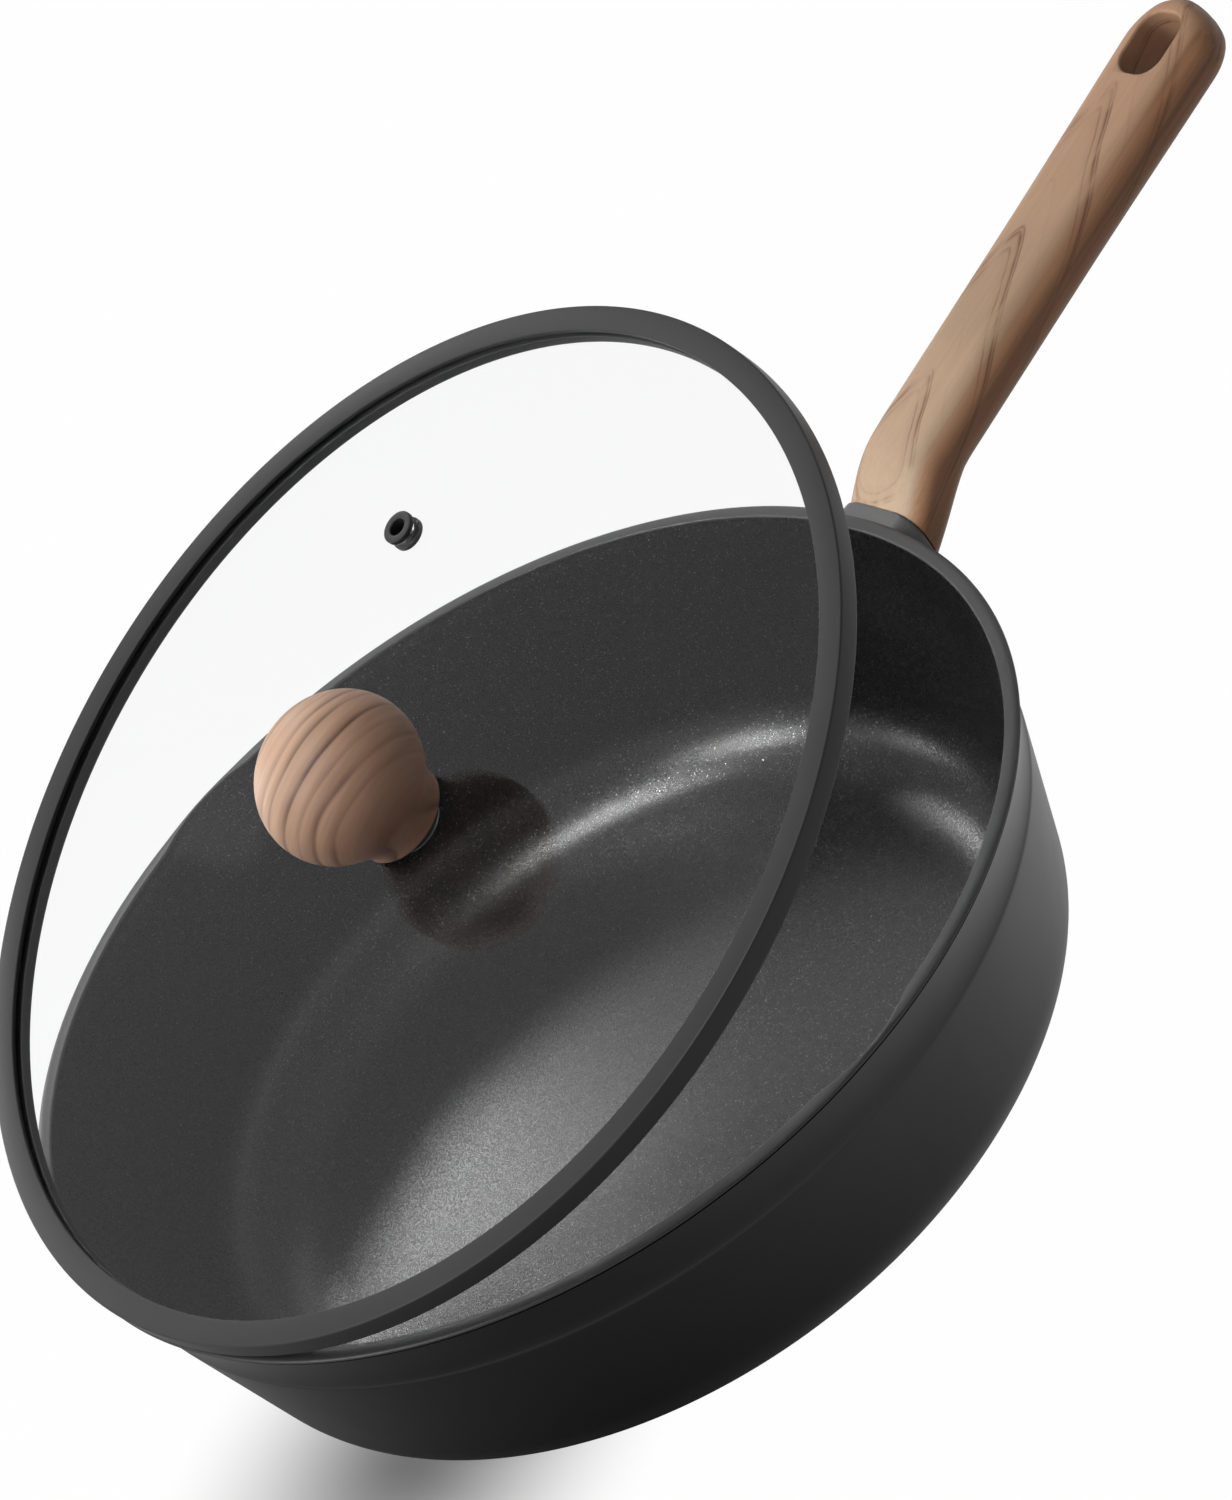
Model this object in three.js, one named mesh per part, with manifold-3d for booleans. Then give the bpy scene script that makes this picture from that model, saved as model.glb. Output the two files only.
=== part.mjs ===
import * as THREE from 'three';
import { mergeVertices } from 'three/addons/utils/BufferGeometryUtils.js';
import Module from 'manifold-3d';

const wasm = await Module();
wasm.setup();

// Deep frying pan with a loose glass lid tipped open on the rim.
// Millimetres, +Z up, origin in the middle of the base underside, handle along +X.

// Clearances
const GAP = 0.3;
const LIP_PLAY = 0.8;
const OVERCUT = 2;

// Pan shell
const RIM_RADIUS = 142;
const PAN_HEIGHT = 74.3;
const RIM_OVERHANG = 1.1;
const WALL_LEAN = THREE.MathUtils.degToRad(15.1);
const WALL_THICKNESS = 3.1;
const FLOOR_THICKNESS = 4.8;
const CORNER_RADIUS = 23.8;
const RIM_ROUND = 0.6;
const SHOULDER_DEPTH = 18.8;
const BAND_RECESS = 0.6;
const BAND_BEND = 6;
const SPOUT_RADIUS = 41;
const SPOUT_DEPTH = 2.6;
const SPOUT_LEAN = THREE.MathUtils.degToRad(22);
const DISC_RADIUS = 90;
const DISC_THICKNESS = 1.2;

// Handle
const HANDLE_WIDTH = 28.5;
const HANDLE_THICKNESS = 17.2;
const HANDLE_CORNER = 6;
const HANDLE_RISE = THREE.MathUtils.degToRad(9.9);
const HANDLE_REACH = 157.5;
const BEND_REACH = 24;
const BEND_RISE = 12;
const BEND_START = THREE.MathUtils.degToRad(34);
const BOSS_REACH = 4.3;
const BOSS_MARGIN = 0.3;
const BOSS_INSET = 20;
const ROOT_DROP = 9.5;
const ROOT_SWELL = 1.2;
const ROOT_FADE = 29;
const BEND_SWELL = 1.7;
const BEND_FADE = 23;
const TIP_SWELL = 2.2;
const TIP_EDGE = 5;
const TIP_FLAT = 0.1;
const SLOT_LENGTH = 19.5;
const SLOT_WIDTH = 15;
const SLOT_CORNER = 6;
const SLOT_MARGIN = 6.6;
const TONGUE_WIDTH = 15;
const TONGUE_HEIGHT = 5;
const TONGUE_LENGTH = 46;
const TONGUE_CORNER = 1.5;
const HANDLE_SCREW_STATION = 36;
const HANDLE_SCREW_RADIUS = 2;
const HANDLE_HEAD_RADIUS = 3.8;
const HANDLE_HEAD_HEIGHT = 2;
const WASHER_THICKNESS = 0.7;
const WELL_WEB = 1.2;

// Lid
const LID_OPEN = THREE.MathUtils.degToRad(17.2);
const SEAL_HEIGHT = 6.1;
const SEAL_FLANGE = 1.3;
const SEAL_WIDTH = 7.1;
const SEAL_WALL = 2.2;
const SEAL_ROUND = 0.4;
const LIP_DEPTH = 2;
const VENT_X = 70;
const VENT_Y = 56;
const VENT_BORE = 2.4;
const VENT_NECK = 3.2;
const VENT_FLANGE = 4.6;
const VENT_FLANGE_HEIGHT = 1.4;

// Knob and its fastening
const KNOB_RADIUS = 22.4;
const KNOB_HALF_HEIGHT = 19.8;
const KNOB_CENTRE = 22.3;
const NECK_RADIUS = 13.2;
const NECK_WAIST = 12.9;
const NECK_ROUND = 0.6;
const NECK_LEAD = 2;
const HEAD_START = THREE.MathUtils.degToRad(36);
const INSERT_RADIUS = 5;
const INSERT_LENGTH = 12;
const INSERT_GROOVE = 0.6;
const KNOB_SCREW_RADIUS = 2;
const KNOB_HEAD_RADIUS = 4.6;
const KNOB_HEAD_HEIGHT = 2.4;
const GASKET_THICKNESS = 0.8;
const GASKET_RADIUS = 9;
const CUP_RADIUS = 8;
const CUP_THICKNESS = 1;
const CUP_DISH = 0.8;
const HEAD_FLAT_SHARE = 0.6;
const CROSS_LENGTH_SHARE = 1.1;
const CROSS_WIDTH_SHARE = 0.26;
const THREAD_SHARE = 0.8;

// Facets round each kind of circle
const BIG_FACETS = 64;
const KNOB_FACETS = 32;
const SMALL_FACETS = 24;
const HANDLE_STEPS = 26;
const TONGUE_STEPS = 7;

// Derived sizes
const leanSlope = Math.tan(WALL_LEAN);
const coneTop = RIM_RADIUS - RIM_OVERHANG;
const innerTop = coneTop - WALL_THICKNESS / Math.cos(WALL_LEAN);
const rootX = RIM_RADIUS + BOSS_REACH;
const rootZ = PAN_HEIGHT - ROOT_DROP;
const sealInner = RIM_RADIUS - SEAL_WIDTH;
const channelRadius = RIM_RADIUS - SEAL_WALL;
const glassRadius = channelRadius - GAP;
const glassBottom = SEAL_FLANGE + GAP;
const glassTop = SEAL_HEIGHT - SEAL_FLANGE - GAP;
const knobBase = glassTop + GAP + GASKET_THICKNESS + GAP;
const ventHole = VENT_NECK + GAP;
const middleHole = KNOB_SCREW_RADIUS + 3 * GAP;
const lipOuter = innerTop - LIP_PLAY;

// Solid from a three.js geometry, welded and turned so that its faces look outwards.
function solid(geometry) {
  const bare = new THREE.BufferGeometry();
  bare.setAttribute('position', geometry.getAttribute('position').clone());
  bare.setIndex(geometry.getIndex());
  const welded = mergeVertices(bare);
  const points = new Float32Array(welded.getAttribute('position').array);
  const corners = welded.getIndex().array;
  const kept = [];
  for (let i = 0; i < corners.length; i += 3) {
    const [a, b, c] = corners.subarray(i, i + 3);
    if (a !== b && b !== c && c !== a) kept.push(a, b, c);
  }
  const flipped = volumeOf(points, kept) < 0;
  const triVerts = new Uint32Array(flipped ? kept.reverse() : kept);
  return new wasm.Manifold(new wasm.Mesh({ numProp: 3, vertProperties: points, triVerts }));
}

function volumeOf(points, corners) {
  const at = (i) => new THREE.Vector3().fromArray(points, 3 * i);
  let sum = 0;
  for (let i = 0; i < corners.length; i += 3) {
    sum += at(corners[i]).dot(at(corners[i + 1]).cross(at(corners[i + 2])));
  }
  return sum;
}

// Body of revolution round Z from points given as (radius, height).
function turned(points, facets) {
  return solid(new THREE.LatheGeometry(points, facets).rotateX(Math.PI / 2));
}

function closedTurned(points, facets) {
  return turned([...points, points[0].clone()], facets);
}

function point(x, y) {
  return new THREE.Vector2(x, y);
}

// Plain round bar along Z between two heights.
function roundBar(radius, low, high, facets) {
  const bar = new THREE.CylinderGeometry(radius, radius, high - low, facets);
  return solid(bar.rotateX(Math.PI / 2).translate(0, 0, (low + high) / 2));
}

// Flat ring round Z between two heights.
function flatRing(outer, inner, low, high, facets) {
  const corners = [point(inner, low), point(outer, low), point(outer, high), point(inner, high)];
  return closedTurned(corners, facets);
}

function roundedRectangle(width, height, corner) {
  const x = width / 2 - corner;
  const y = height / 2 - corner;
  const shape = new THREE.Shape();
  shape.absarc(x, y, corner, 0, Math.PI / 2);
  shape.absarc(-x, y, corner, Math.PI / 2, Math.PI);
  shape.absarc(-x, -y, corner, Math.PI, 1.5 * Math.PI);
  shape.absarc(x, -y, corner, 1.5 * Math.PI, 2 * Math.PI);
  return shape;
}

function outerRadius(z) {
  return coneTop - (PAN_HEIGHT - z) * leanSlope;
}

// Quarter-like arc from a flat floor at height `floor` up to a leaning wall.
function cornerArc(wallTop, floor, radius, count) {
  const centreZ = floor + radius;
  const centreR = wallTop - (PAN_HEIGHT - centreZ) * leanSlope - radius / Math.cos(WALL_LEAN);
  const arc = new THREE.EllipseCurve(centreR, centreZ, radius, radius, -Math.PI / 2, -WALL_LEAN);
  return arc.getPoints(count);
}

// Outside of the shell: base, rounded corner, leaning wall, shoulder, hollow band above it and rim.
function shellOutline() {
  const shoulderZ = PAN_HEIGHT - SHOULDER_DEPTH;
  const shoulder = point(outerRadius(shoulderZ), shoulderZ);
  const bandDeep = point(shoulder.x - BAND_RECESS, shoulderZ + BAND_BEND);
  const bandTop = point(RIM_RADIUS, PAN_HEIGHT - RIM_ROUND);
  const band = new THREE.QuadraticBezierCurve(shoulder, bandDeep, bandTop).getPoints(6);
  const edge = new THREE.EllipseCurve(
    RIM_RADIUS - RIM_ROUND, bandTop.y, RIM_ROUND, RIM_ROUND, 0, Math.PI / 2).getPoints(3);
  return [
    point(0, 0),
    ...cornerArc(coneTop, 0, CORNER_RADIUS, 8),
    ...band.slice(0, -1),
    ...edge,
    point(0, PAN_HEIGHT),
  ];
}

// Hollow of the shell, running past the rim with a small round on its inner edge.
function hollow() {
  const round = PAN_HEIGHT - RIM_ROUND;
  const arc = cornerArc(innerTop, FLOOR_THICKNESS, CORNER_RADIUS - WALL_THICKNESS, 8);
  return turned([
    point(0, FLOOR_THICKNESS),
    ...arc,
    point(innerTop - RIM_ROUND * leanSlope, round),
    point(innerTop + RIM_ROUND, PAN_HEIGHT),
    point(innerTop + RIM_ROUND, PAN_HEIGHT + OVERCUT),
    point(0, PAN_HEIGHT + OVERCUT),
  ], BIG_FACETS);
}

// Round tool that scoops a pouring spout out of the inner wall on the side given by `side`.
function spoutTool(side) {
  const length = 2 * SHOULDER_DEPTH + 2 * OVERCUT;
  const tool = new THREE.CylinderGeometry(SPOUT_RADIUS, SPOUT_RADIUS, length, BIG_FACETS);
  tool.rotateX(Math.PI / 2);
  tool.scale(1, Math.cos(SPOUT_LEAN), 1);
  tool.rotateX(-side * SPOUT_LEAN);
  const middle = innerTop + SPOUT_DEPTH - SPOUT_RADIUS;
  return solid(tool.translate(0, side * middle, PAN_HEIGHT));
}

// Centre line of the handle in the XZ plane: a bend out of the boss, then a straight run to the tip.
function handlePath() {
  const bendEnd = point(rootX + BEND_REACH, rootZ + BEND_RISE);
  const run = HANDLE_REACH - BEND_REACH;
  const tip = point(bendEnd.x + run, bendEnd.y + run * Math.tan(HANDLE_RISE));
  const lead = BEND_REACH / 2;
  const tail = BEND_REACH / 3;
  const path = new THREE.CurvePath();
  path.add(new THREE.CubicBezierCurve(
    point(rootX, rootZ),
    point(rootX + lead * Math.cos(BEND_START), rootZ + lead * Math.sin(BEND_START)),
    point(bendEnd.x - tail * Math.cos(HANDLE_RISE), bendEnd.y - tail * Math.sin(HANDLE_RISE)),
    bendEnd));
  path.add(new THREE.LineCurve(bendEnd, tip));
  return path;
}

const path = handlePath();
const pathLength = path.getLength();

// Place on the handle at a distance along its centre line; the cross plane turns from upright to square.
function station(distance) {
  const along = THREE.MathUtils.clamp(distance, 0, pathLength);
  const at = path.getPointAt(along / pathLength);
  const turn = HANDLE_RISE * THREE.MathUtils.smoothstep(at.x, rootX, rootX + BEND_REACH);
  return new THREE.Matrix4()
    .makeRotationY(-turn)
    .setPosition(at.x + distance - along, 0, at.y);
}

// Bar that follows the handle's centre line; size(distance) gives the shares of width and height.
function pathBar(shape, from, to, steps, size) {
  const bar = new THREE.ExtrudeGeometry(shape, { depth: 1, steps, bevelEnabled: false, curveSegments: 4 });
  const place = bar.getAttribute('position');
  const spot = new THREE.Vector3();
  for (let i = 0; i < place.count; i += 1) {
    spot.fromBufferAttribute(place, i);
    const share = (1 - Math.cos(Math.PI * spot.z)) / 2;
    const distance = from + share * (to - from);
    const [wide, high] = size(distance);
    spot.set(0, spot.x * wide, spot.y * high).applyMatrix4(station(distance));
    place.setXYZ(i, spot.x, spot.y, spot.z);
  }
  return solid(bar);
}

function fullSize() {
  return [1, 1];
}

// Half the width lost near a round end of the given radius, at a distance from that end.
function roundEnd(radius, left) {
  return left < radius ? radius - Math.sqrt(radius ** 2 - (radius - left) ** 2) : 0;
}

// Wider at the root and towards the tip, deeper in the bend, round in plan at the end with soft edges.
function handleSize(distance) {
  const left = Math.max(pathLength - distance, TIP_FLAT);
  const atRoot = 1 - THREE.MathUtils.smoothstep(distance, 0, ROOT_FADE);
  const inBend = Math.sin(Math.PI * Math.min(distance / BEND_FADE, 1));
  const atTip = THREE.MathUtils.smoothstep(distance, pathLength / 2, pathLength);
  const width = HANDLE_WIDTH + ROOT_SWELL * atRoot + TIP_SWELL * atTip;
  const height = HANDLE_THICKNESS + ROOT_SWELL * atRoot + BEND_SWELL * inBend;
  const endRadius = (HANDLE_WIDTH + TIP_SWELL) / 2;
  return [
    (width - 2 * roundEnd(endRadius, left)) / HANDLE_WIDTH,
    (height - 2 * roundEnd(TIP_EDGE, left)) / HANDLE_THICKNESS,
  ];
}

function tongue(from, to, room) {
  const shape = roundedRectangle(TONGUE_WIDTH + 2 * room, TONGUE_HEIGHT + 2 * room, TONGUE_CORNER);
  return pathBar(shape, from, to, TONGUE_STEPS, fullSize);
}

// Moves a solid standing on the XY plane to the handle, its Z along the handle's upper normal.
function onHandle(body, distance) {
  return body.transform(station(distance).elements);
}

// Cast boss that carries the handle, a little wider where it meets the wall.
function boss() {
  const shape = roundedRectangle(
    HANDLE_WIDTH + ROOT_SWELL, HANDLE_THICKNESS + 2 * BOSS_MARGIN, HANDLE_CORNER + BOSS_MARGIN);
  return pathBar(shape, -BOSS_INSET, -GAP, 1, fullSize);
}

function panBody() {
  const recess = roundBar(DISC_RADIUS + GAP, -OVERCUT, DISC_THICKNESS + GAP, BIG_FACETS);
  const thread = roundBar(HANDLE_SCREW_RADIUS + GAP, -TONGUE_HEIGHT, TONGUE_HEIGHT, SMALL_FACETS);
  return turned(shellOutline(), BIG_FACETS)
    .add(boss())
    .subtract(hollow())
    .add(tongue(-BOSS_REACH / 2, TONGUE_LENGTH, 0))
    .subtract(spoutTool(1))
    .subtract(spoutTool(-1))
    .subtract(recess)
    .subtract(onHandle(thread, HANDLE_SCREW_STATION));
}

function inductionDisc() {
  return roundBar(DISC_RADIUS, 0, DISC_THICKNESS, BIG_FACETS);
}

function hangingSlot() {
  const shape = roundedRectangle(SLOT_LENGTH, SLOT_WIDTH, SLOT_CORNER);
  const depth = HANDLE_THICKNESS + 2 * OVERCUT;
  const slot = new THREE.ExtrudeGeometry(shape, { depth, bevelEnabled: false, curveSegments: 6 });
  const body = solid(slot.translate(0, 0, -depth / 2));
  return onHandle(body, pathLength - SLOT_MARGIN - SLOT_LENGTH / 2);
}

// Heights of the screw well, measured from the handle's centre line.
const wellTop = -TONGUE_HEIGHT / 2 - GAP - WELL_WEB;
const washerLow = wellTop - GAP - WASHER_THICKNESS;
const screwHeadTop = washerLow - GAP;

function handle() {
  const shape = roundedRectangle(HANDLE_WIDTH, HANDLE_THICKNESS, HANDLE_CORNER);
  const well = roundBar(HANDLE_HEAD_RADIUS + 2 * GAP, -HANDLE_THICKNESS, wellTop, SMALL_FACETS);
  const hole = roundBar(HANDLE_SCREW_RADIUS + 2 * GAP, wellTop - GAP, 0, SMALL_FACETS);
  return pathBar(shape, 0, pathLength, HANDLE_STEPS, handleSize)
    .subtract(tongue(-OVERCUT, TONGUE_LENGTH + 2 * GAP, GAP))
    .subtract(hangingSlot())
    .subtract(onHandle(well.add(hole), HANDLE_SCREW_STATION));
}

// Screw standing head down with a cross recess, its head top at height zero.
function crossScrew(headRadius, headHeight, shankRadius, length) {
  const head = turned([
    point(0, -headHeight),
    point(headRadius * HEAD_FLAT_SHARE, -headHeight),
    point(headRadius, -headHeight / 2),
    point(headRadius, 0),
    point(0, 0),
  ], SMALL_FACETS);
  const groove = solid(new THREE.BoxGeometry(
    headRadius * CROSS_LENGTH_SHARE, headRadius * CROSS_WIDTH_SHARE, headHeight));
  const cross = groove.add(groove.rotate([0, 0, 90])).translate([0, 0, -headHeight]);
  return head.add(roundBar(shankRadius, -headHeight / 4, length, SMALL_FACETS)).subtract(cross);
}

function handleScrew() {
  const length = TONGUE_HEIGHT / 2 - screwHeadTop;
  return crossScrew(HANDLE_HEAD_RADIUS, HANDLE_HEAD_HEIGHT, HANDLE_SCREW_RADIUS, length);
}

function handleWasher() {
  return flatRing(HANDLE_HEAD_RADIUS, HANDLE_SCREW_RADIUS + GAP, 0, WASHER_THICKNESS, SMALL_FACETS);
}

// U-shaped ring round the edge of the glass with a locating lip that drops inside the rim.
// Heights of the lid pieces count from the ring's seat on the rim.
function lidRimSeal() {
  return closedTurned([
    point(RIM_RADIUS, SEAL_ROUND),
    point(RIM_RADIUS, SEAL_HEIGHT - SEAL_ROUND),
    point(RIM_RADIUS - SEAL_ROUND, SEAL_HEIGHT),
    point(sealInner, SEAL_HEIGHT),
    point(sealInner, SEAL_HEIGHT - SEAL_FLANGE),
    point(channelRadius, SEAL_HEIGHT - SEAL_FLANGE),
    point(channelRadius, SEAL_FLANGE),
    point(sealInner, SEAL_FLANGE),
    point(sealInner, -LIP_DEPTH),
    point(lipOuter - SEAL_ROUND, -LIP_DEPTH),
    point(lipOuter, SEAL_ROUND - LIP_DEPTH),
    point(lipOuter, 0),
    point(RIM_RADIUS - SEAL_ROUND, 0),
  ], BIG_FACETS);
}

function lidGlass() {
  const middle = roundBar(middleHole, glassBottom - OVERCUT, glassTop + OVERCUT, SMALL_FACETS);
  const vent = roundBar(ventHole, glassBottom - OVERCUT, glassTop + OVERCUT, SMALL_FACETS);
  return roundBar(glassRadius, glassBottom, glassTop, BIG_FACETS)
    .subtract(middle)
    .subtract(vent.translate([VENT_X, VENT_Y, 0]));
}

function ventGrommet() {
  const low = glassBottom - GAP;
  const high = glassTop + GAP;
  return closedTurned([
    point(VENT_BORE, low - VENT_FLANGE_HEIGHT),
    point(VENT_FLANGE, low - VENT_FLANGE_HEIGHT),
    point(VENT_FLANGE, low),
    point(VENT_NECK, low),
    point(VENT_NECK, high),
    point(VENT_FLANGE, high),
    point(VENT_FLANGE, high + VENT_FLANGE_HEIGHT),
    point(VENT_BORE, high + VENT_FLANGE_HEIGHT),
  ], SMALL_FACETS);
}

// Ball head running softly into a short neck; a blind bore from below takes the insert.
function lidKnob() {
  const headCurve = new THREE.EllipseCurve(
    0, KNOB_CENTRE, KNOB_RADIUS, KNOB_HALF_HEIGHT, -HEAD_START, Math.PI / 2);
  const head = headCurve.getPoints(14);
  const joint = head[0];
  const neck = new THREE.CubicBezierCurve(
    point(NECK_RADIUS, NECK_ROUND),
    point(NECK_WAIST, joint.y / 3),
    joint.clone().addScaledVector(headCurve.getTangent(0), -NECK_LEAD),
    joint).getPoints(6);
  head[head.length - 1].x = 0;
  const outline = [point(0, 0), point(NECK_RADIUS - NECK_ROUND, 0), ...neck.slice(0, -1), ...head];
  const bore = roundBar(INSERT_RADIUS + GAP, -OVERCUT, INSERT_LENGTH + 2 * GAP, SMALL_FACETS);
  return turned(outline, KNOB_FACETS).subtract(bore);
}

function knobInsert() {
  const hole = KNOB_SCREW_RADIUS + GAP;
  const slim = INSERT_RADIUS - INSERT_GROOVE;
  const third = INSERT_LENGTH / 3;
  return closedTurned([
    point(hole, GAP),
    point(INSERT_RADIUS, GAP),
    point(INSERT_RADIUS, third),
    point(slim, third + INSERT_GROOVE),
    point(slim, 2 * third - INSERT_GROOVE),
    point(INSERT_RADIUS, 2 * third),
    point(INSERT_RADIUS, INSERT_LENGTH),
    point(hole, INSERT_LENGTH),
  ], SMALL_FACETS);
}

function knobGasket() {
  return flatRing(NECK_RADIUS - 2 * NECK_ROUND, middleHole, 0, GASKET_THICKNESS, SMALL_FACETS);
}

const glassGasketLow = glassBottom - GAP - GASKET_THICKNESS;
const cupTop = glassGasketLow - GAP;
const knobScrewTop = cupTop - CUP_THICKNESS - CUP_DISH - GAP;

function glassGasket() {
  return flatRing(GASKET_RADIUS, middleHole, 0, GASKET_THICKNESS, SMALL_FACETS);
}

// Dished washer, its wide side up against the gasket at height zero.
function knobWasher() {
  const hole = KNOB_SCREW_RADIUS + GAP;
  const flat = CUP_RADIUS - 2 * CUP_THICKNESS;
  return closedTurned([
    point(hole, -CUP_DISH - CUP_THICKNESS),
    point(flat, -CUP_DISH - CUP_THICKNESS),
    point(CUP_RADIUS, -CUP_THICKNESS),
    point(CUP_RADIUS, 0),
    point(flat, -CUP_DISH),
    point(hole, -CUP_DISH),
  ], SMALL_FACETS);
}

function knobScrew() {
  const length = knobBase + INSERT_LENGTH * THREAD_SHARE - knobScrewTop;
  return crossScrew(KNOB_HEAD_RADIUS, KNOB_HEAD_HEIGHT, KNOB_SCREW_RADIUS, length);
}

const coating = new THREE.MeshStandardMaterial({ color: 0x2b2b2d, roughness: 0.5, metalness: 0.3 });
const woodLook = new THREE.MeshStandardMaterial({ color: 0xc49c78, roughness: 0.55, metalness: 0 });
const silicone = new THREE.MeshStandardMaterial({ color: 0x58585a, roughness: 0.7, metalness: 0 });
const glass = new THREE.MeshStandardMaterial({ color: 0xcdd6d6, roughness: 0.05, metalness: 0 });
const steel = new THREE.MeshStandardMaterial({ color: 0xb4b6b8, roughness: 0.35, metalness: 1 });
const brass = new THREE.MeshStandardMaterial({ color: 0xb08d4a, roughness: 0.35, metalness: 1 });

function piece(name, body, material) {
  const { vertProperties, triVerts } = body.getMesh();
  const geometry = new THREE.BufferGeometry();
  geometry.setAttribute('position', new THREE.BufferAttribute(vertProperties, 3));
  geometry.setIndex(new THREE.BufferAttribute(triVerts, 1));
  geometry.computeVertexNormals();
  const mesh = new THREE.Mesh(geometry, material);
  mesh.name = name;
  return mesh;
}

function addAt(parent, mesh, x, y, z) {
  mesh.position.set(x, y, z);
  parent.add(mesh);
}

// The screw's place on the handle, its Z square to the handle's upper face.
const screwPlace = new THREE.Group();
screwPlace.applyMatrix4(station(HANDLE_SCREW_STATION));
addAt(screwPlace, piece('handle_screw', handleScrew(), steel), 0, 0, screwHeadTop);
addAt(screwPlace, piece('handle_washer', handleWasher(), steel), 0, 0, washerLow);

const pan = new THREE.Group();
pan.add(piece('pan_body', panBody(), coating));
pan.add(piece('induction_disc', inductionDisc(), steel));
pan.add(piece('handle', handle(), woodLook));
pan.add(screwPlace);

// The lid turns about its lowest outer edge, on the rim opposite the handle.
const lid = new THREE.Group();
lid.position.set(-RIM_RADIUS, 0, PAN_HEIGHT + GAP);
lid.rotation.y = -LID_OPEN;
addAt(lid, piece('lid_glass', lidGlass(), glass), RIM_RADIUS, 0, 0);
addAt(lid, piece('lid_rim_seal', lidRimSeal(), silicone), RIM_RADIUS, 0, 0);
addAt(lid, piece('vent_grommet', ventGrommet(), silicone), RIM_RADIUS + VENT_X, VENT_Y, 0);
addAt(lid, piece('lid_knob', lidKnob(), woodLook), RIM_RADIUS, 0, knobBase);
addAt(lid, piece('knob_insert', knobInsert(), brass), RIM_RADIUS, 0, knobBase);
addAt(lid, piece('knob_gasket', knobGasket(), silicone), RIM_RADIUS, 0, glassTop + GAP);
addAt(lid, piece('glass_gasket', glassGasket(), silicone), RIM_RADIUS, 0, glassGasketLow);
addAt(lid, piece('knob_washer', knobWasher(), steel), RIM_RADIUS, 0, cupTop);
addAt(lid, piece('knob_screw', knobScrew(), steel), RIM_RADIUS, 0, knobScrewTop);

const fryingPan = new THREE.Group();
fryingPan.add(pan, lid);

export default fryingPan;
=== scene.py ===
import bpy
import bmesh
import math
from mathutils import Matrix, Vector


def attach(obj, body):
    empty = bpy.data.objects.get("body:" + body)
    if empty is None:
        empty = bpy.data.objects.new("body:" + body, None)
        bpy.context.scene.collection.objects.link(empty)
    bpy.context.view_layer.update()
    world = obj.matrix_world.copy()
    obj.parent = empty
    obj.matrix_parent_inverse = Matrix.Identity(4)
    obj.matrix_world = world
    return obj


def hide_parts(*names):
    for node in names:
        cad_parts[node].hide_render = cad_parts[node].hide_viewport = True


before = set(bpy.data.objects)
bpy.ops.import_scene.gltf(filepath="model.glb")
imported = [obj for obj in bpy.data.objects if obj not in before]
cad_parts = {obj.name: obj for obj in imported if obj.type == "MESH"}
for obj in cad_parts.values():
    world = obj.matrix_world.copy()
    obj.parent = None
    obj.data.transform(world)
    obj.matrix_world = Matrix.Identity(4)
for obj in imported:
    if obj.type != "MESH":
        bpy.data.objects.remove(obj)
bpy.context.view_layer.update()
scene = bpy.context.scene
print("stage: frame loaded,", len(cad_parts), "nodes")


# small helpers for nodes and meshes
def newMaterial(name):
    mat = bpy.data.materials.new(name)
    mat.use_nodes = True
    tree = mat.node_tree
    tree.nodes.clear()
    out = tree.nodes.new("ShaderNodeOutputMaterial")
    skin = tree.nodes.new("ShaderNodeBsdfPrincipled")
    tree.links.new(skin.outputs[0], out.inputs["Surface"])
    return mat, tree, skin


def put(tree, kind, inputs=None, **settings):
    node = tree.nodes.new(kind)
    for key, value in settings.items():
        setattr(node, key, value)
    for key, value in (inputs or {}).items():
        socket = node.inputs[key]
        if isinstance(value, bpy.types.NodeSocket):
            tree.links.new(value, socket)
        else:
            socket.default_value = value
    return node


def sums(tree, operation, a, b=None, c=None):
    values = {i: v for i, v in enumerate((a, b, c)) if v is not None}
    return put(tree, "ShaderNodeMath", values, operation=operation).outputs[0]


def greyRamp(tree, fac, stops):
    node = put(tree, "ShaderNodeValToRGB", {"Fac": fac})
    band = node.color_ramp
    while len(band.elements) < len(stops):
        band.elements.new(0.5)
    for element, (place, level) in zip(band.elements, stops):
        element.position = place
        element.color = (level, level, level, 1.0)
    return node.outputs["Color"]


def mixColour(tree, fac, a, b):
    # sockets 0, 6 and 7 of the node are the factor and the two colours
    node = put(tree, "ShaderNodeMix", data_type="RGBA")
    for place, value in ((0, fac), (6, a), (7, b)):
        if isinstance(value, bpy.types.NodeSocket):
            tree.links.new(value, node.inputs[place])
        elif place == 0:
            node.inputs[place].default_value = value
        else:
            node.inputs[place].default_value = (*value, 1.0)
    return node.outputs[2]


def objectSpot(tree):
    return put(tree, "ShaderNodeTexCoord").outputs["Object"]


def noise(tree, spot, scale, detail, roughness=0.5):
    return put(tree, "ShaderNodeTexNoise", {
        "Vector": spot, "Scale": scale, "Detail": detail, "Roughness": roughness}).outputs[0]


def stretched(tree, spot, scale):
    return put(tree, "ShaderNodeMapping", {"Vector": spot, "Scale": scale}).outputs[0]


def span(tree, value, low, high, start=0.0, end=1.0, soft=False):
    # carries start..end over to low..high, held at both ends
    return put(tree, "ShaderNodeMapRange", {
        "Value": value, "From Min": start, "From Max": end, "To Min": low, "To Max": high},
        interpolation_type="SMOOTHSTEP" if soft else "LINEAR").outputs[0]


def vectorSum(tree, operation, a, b, output=0):
    return put(tree, "ShaderNodeVectorMath", {0: a, 1: b}, operation=operation).outputs[output]


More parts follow.
